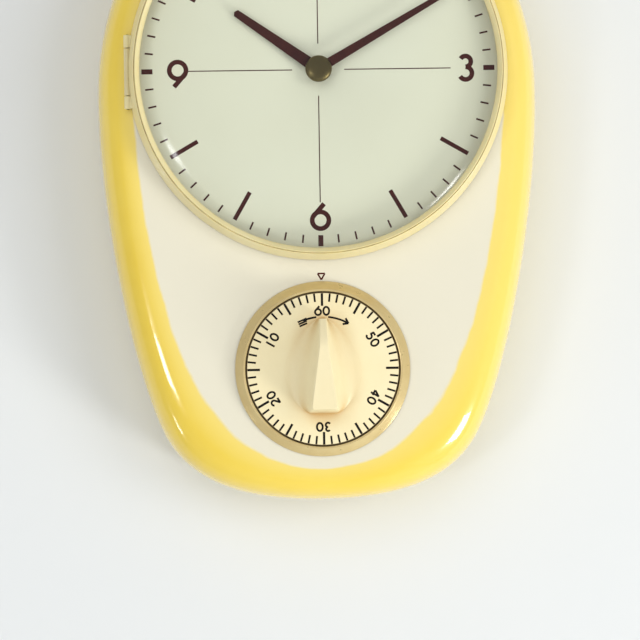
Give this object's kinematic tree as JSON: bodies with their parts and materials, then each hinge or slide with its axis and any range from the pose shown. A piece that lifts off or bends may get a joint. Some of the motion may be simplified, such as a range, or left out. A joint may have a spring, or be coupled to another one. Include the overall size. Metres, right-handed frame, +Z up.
{
  "type": "kitchen wall clock with timer",
  "caption": "Glazed ceramic kitchen wall clock: round dial under a hinged glass bezel, hands, wind-up movement, and a rotary sixty-minute timer knob with bell below the dial.",
  "frame": {"origin": "centre of the hanger plate's back face, where it meets the wall, just above the keyhole", "axes": "+Z up, +Y into the wall, front faces -Y, +X to the viewer's right"},
  "size_m": [0.1848, 0.065, 0.2765],
  "materials": {
    "glaze": "glossy two-colour glaze, yellow sides and cream front",
    "bezel_plastic": "aged ivory moulding",
    "seat_plastic": "aged ivory moulding",
    "dial_print": "matt off-white lacquer with printed dark marks",
    "clear_glass": "clear convex glass",
    "hand_lacquer": "dark brown lacquer",
    "hub_brass": "darkened brass",
    "trim_brass": "lacquered, satin",
    "knob_plastic": "warm ivory moulding with printed scale",
    "plain_steel": "plain steel",
    "zinc_steel": "zinc plated screws",
    "movement_brass": "bright plate brass",
    "cover_card": "pressed brown fibre board",
    "bell_metal": "nickelled bell"
  },
  "bodies": {
    "case": {"ceramic_housing": "glaze", "hanger_plate": "zinc_steel", "rear_cover": "cover_card", "dial_seat": "seat_plastic", "clamp_ring": "plain_steel", "dial_plate": "dial_print", "hinge_pin": "hub_brass", "front_plate": "movement_brass", "back_plate": "movement_brass", "timer_ring": "trim_brass", "timer_front_plate": "movement_brass", "timer_back_plate": "movement_brass", "timer_mainspring": "plain_steel", "bell": "bell_metal", "bell_post": "plain_steel", "hanger_screw_1": "zinc_steel", "hanger_screw_2": "zinc_steel", "cover_screw_1": "zinc_steel", "cover_screw_2": "zinc_steel", "cover_screw_3": "zinc_steel", "cover_screw_4": "zinc_steel", "pillar_1": "movement_brass", "movement_screw_1": "zinc_steel", "timer_screw_1": "zinc_steel", "pillar_2": "movement_brass", "movement_screw_2": "zinc_steel", "timer_screw_2": "zinc_steel", "pillar_3": "movement_brass", "movement_screw_3": "zinc_steel", "timer_screw_3": "zinc_steel"},
    "bezel": {"bezel": "bezel_plastic", "glass_lens": "clear_glass", "glass_ring": "movement_brass"},
    "minute_hand": {"minute_hand": "hand_lacquer", "hub_cap": "hub_brass", "centre_arbor": "plain_steel", "centre_wheel": "movement_brass", "cannon_pinion": "plain_steel"},
    "hour_hand": {"hour_hand": "hand_lacquer", "hour_wheel": "movement_brass"},
    "minute_wheel": {"minute_wheel": "movement_brass"},
    "barrel": {"mainspring_barrel": "movement_brass", "mainspring": "plain_steel"},
    "winding": {"winding_key": "movement_brass", "barrel_arbor": "plain_steel", "ratchet_wheel": "plain_steel"},
    "click": {"click": "plain_steel"},
    "third_wheel": {"third_wheel": "movement_brass"},
    "escape_wheel": {"escape_wheel": "movement_brass"},
    "pallet_lever": {"pallet_lever": "plain_steel"},
    "balance": {"balance_wheel": "movement_brass", "hairspring": "plain_steel"},
    "timer_knob": {"timer_knob": "knob_plastic", "timer_spindle": "plain_steel", "timer_main_wheel": "movement_brass", "trip_cam": "plain_steel"},
    "timer_second_wheel": {"timer_second_wheel": "movement_brass"},
    "timer_escape_wheel": {"timer_escape_wheel": "movement_brass"},
    "timer_verge": {"timer_verge": "plain_steel"},
    "hammer": {"hammer": "plain_steel"}
  },
  "joints": [
    {"name": "bezel_hinge", "type": "hinge", "parent": "case", "child": "bezel", "pos_m": [-0.0789, -0.0465, -0.076], "axis": [0, 0, -1], "range_deg": [0, 100]},
    {"name": "minute_hand_turn", "type": "hinge", "parent": "case", "child": "minute_hand", "pos_m": [0, -0.045, -0.076], "axis": [0, 1, 0], "continuous": true},
    {"name": "hour_hand_turn", "type": "hinge", "parent": "case", "child": "hour_hand", "pos_m": [0, -0.045, -0.076], "axis": [0, 1, 0], "continuous": true},
    {"name": "minute_wheel_turn", "type": "hinge", "parent": "case", "child": "minute_wheel", "pos_m": [0.012, -0.042, -0.076], "axis": [0, 1, 0], "continuous": true},
    {"name": "barrel_turn", "type": "hinge", "parent": "case", "child": "barrel", "pos_m": [0, -0.029, -0.0985], "axis": [0, 1, 0], "continuous": true},
    {"name": "third_wheel_turn", "type": "hinge", "parent": "case", "child": "third_wheel", "pos_m": [-0.01344, -0.029, -0.06824], "axis": [0, 1, 0], "continuous": true},
    {"name": "escape_wheel_turn", "type": "hinge", "parent": "case", "child": "escape_wheel", "pos_m": [-0.00728, -0.029, -0.05757], "axis": [0, 1, 0], "continuous": true},
    {"name": "winding_turn", "type": "hinge", "parent": "case", "child": "winding", "pos_m": [0, -0.016, -0.0985], "axis": [0, 1, 0], "continuous": true},
    {"name": "click_pivot", "type": "hinge", "parent": "case", "child": "click", "pos_m": [0.0115, -0.019, -0.0935], "axis": [0, 1, 0], "range_deg": [-8, 0], "stiffness_Nm_per_rad": 0.002, "springref_deg": 11.46},
    {"name": "pallet_rock", "type": "hinge", "parent": "case", "child": "pallet_lever", "pos_m": [0.00472, -0.027, -0.05757], "axis": [0, 1, 0], "range_deg": [-3, 3]},
    {"name": "balance_swing", "type": "hinge", "parent": "case", "child": "balance", "pos_m": [0.01622, -0.031, -0.05757], "axis": [0, 1, 0], "range_deg": [-135, 135], "stiffness_Nm_per_rad": 0.0002},
    {"name": "timer_knob_turn", "type": "hinge", "parent": "case", "child": "timer_knob", "pos_m": [0, -0.045, -0.2], "axis": [0, 1, 0], "range_deg": [0, 355]},
    {"name": "timer_second_turn", "type": "hinge", "parent": "case", "child": "timer_second_wheel", "pos_m": [-0.01691, -0.03, -0.20616], "axis": [0, 1, 0], "range_deg": [-1425, 0]},
    {"name": "timer_escape_turn", "type": "hinge", "parent": "case", "child": "timer_escape_wheel", "pos_m": [-0.01059, -0.028, -0.2171], "axis": [0, 1, 0], "range_deg": [0, 4270]},
    {"name": "timer_verge_rock", "type": "hinge", "parent": "case", "child": "timer_verge", "pos_m": [-0.00109, -0.0255, -0.2171], "axis": [0, 1, 0], "range_deg": [-3, 3]},
    {"name": "hammer_strike", "type": "hinge", "parent": "case", "child": "hammer", "pos_m": [0.02, -0.02, -0.212], "axis": [0, 1, 0], "range_deg": [0, 8], "stiffness_Nm_per_rad": 0.005, "springref_deg": -11.46}
  ],
  "couplings": [
    {"joint": "hour_hand_turn", "follows": "minute_hand_turn", "ratio": 0.083333},
    {"joint": "minute_wheel_turn", "follows": "minute_hand_turn", "ratio": -0.33333},
    {"joint": "barrel_turn", "follows": "minute_hand_turn", "ratio": -0.25},
    {"joint": "third_wheel_turn", "follows": "minute_hand_turn", "ratio": -3},
    {"joint": "escape_wheel_turn", "follows": "minute_hand_turn", "ratio": 9},
    {"joint": "timer_second_turn", "follows": "timer_knob_turn", "ratio": -4},
    {"joint": "timer_escape_turn", "follows": "timer_knob_turn", "ratio": 12}
  ]
}
